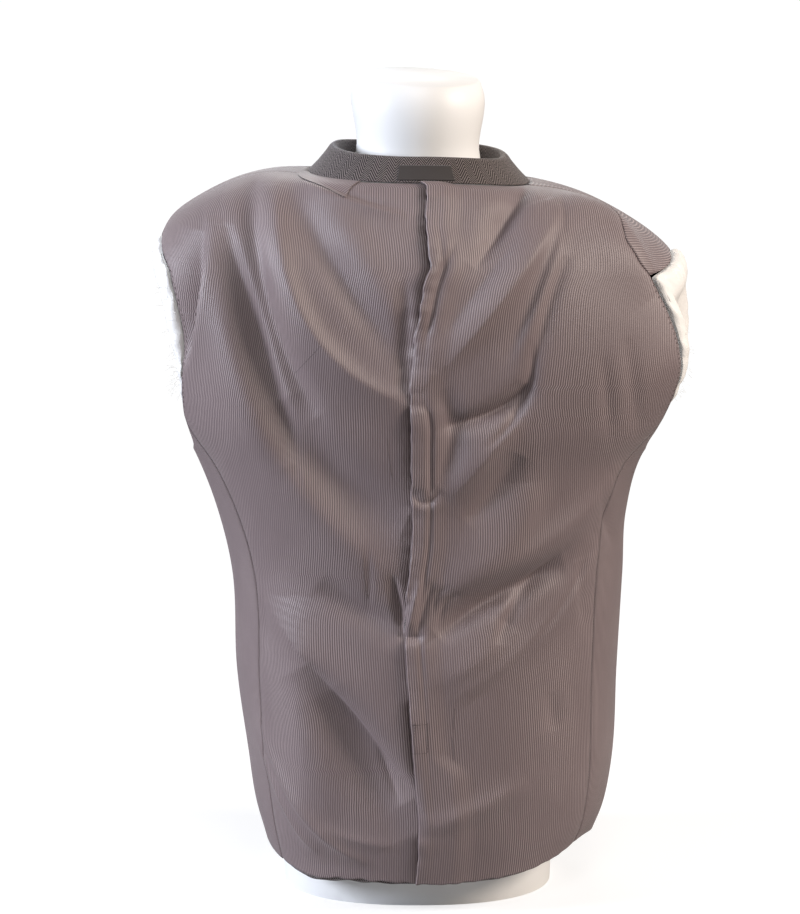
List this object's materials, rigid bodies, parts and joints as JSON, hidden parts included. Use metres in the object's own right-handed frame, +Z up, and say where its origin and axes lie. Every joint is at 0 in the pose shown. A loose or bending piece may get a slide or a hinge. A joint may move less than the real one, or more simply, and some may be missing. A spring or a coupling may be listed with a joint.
{
  "type": "inside-out sport coat on a limbless torso form",
  "caption": "Sport coat worn inside out on a limbless torso form: ribbed lining outside, sleeves pushed in through the armholes, wool collar folded in.",
  "frame": {"origin": "centre of the form's flat base", "axes": "+Z up, +X the wearer's left, +Y the wearer's back"},
  "size_m": [0.5498, 0.3171, 0.838],
  "materials": {
    "lining": "ribbed satin lining",
    "wool": "charcoal herringbone wool",
    "sleeve_lining": "plain cream satin lining",
    "label": "bare woven patch",
    "form": "smooth white shell"
  },
  "bodies": {
    "root": {"form": "form", "back_left": "lining", "back_right": "lining", "side_left": "lining", "side_right": "lining", "front_left": "lining", "front_right": "lining", "facing_left": "wool", "facing_right": "wool", "collar": "wool", "label": "label", "sleeve_left": "sleeve_lining", "sleeve_right": "sleeve_lining"}
  },
  "joints": []
}
